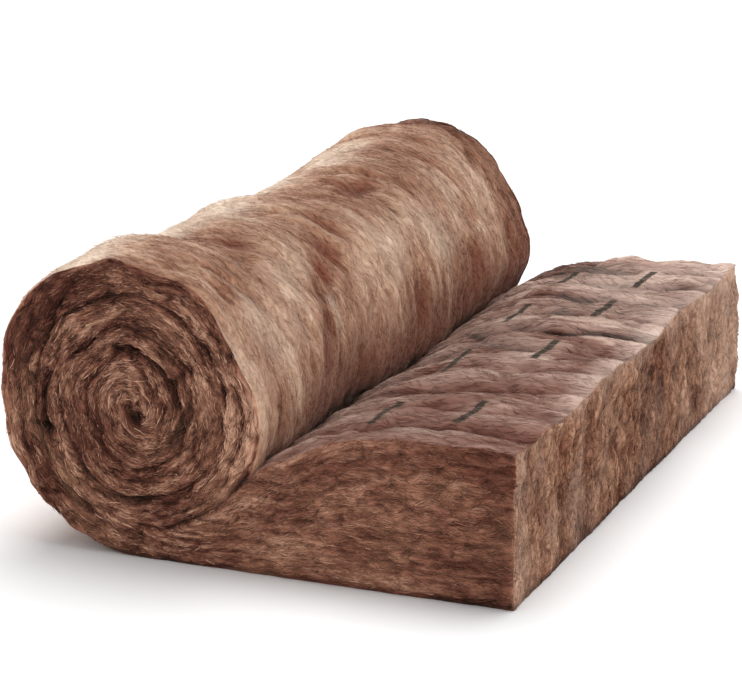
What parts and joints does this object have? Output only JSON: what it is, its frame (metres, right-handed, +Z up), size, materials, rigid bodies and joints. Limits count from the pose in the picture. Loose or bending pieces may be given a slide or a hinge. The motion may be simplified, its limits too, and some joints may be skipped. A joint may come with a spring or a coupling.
{
  "type": "insulation roll",
  "caption": "Roll of brown mineral wool insulation lying on its side, with its free end laid out flat as a thick, springy flap.",
  "frame": {"origin": "on the floor, under the middle of the blanket's overall box", "axes": "+Z up from the floor, +Y along the axis of the roll, +X from the roll towards the cut end of the flap"},
  "size_m": [0.805, 1.2, 0.436],
  "materials": {
    "wool": "matte, fibrous, brown bonded wool"
  },
  "bodies": {
    "root": {"wool_blanket": "wool"}
  },
  "joints": []
}
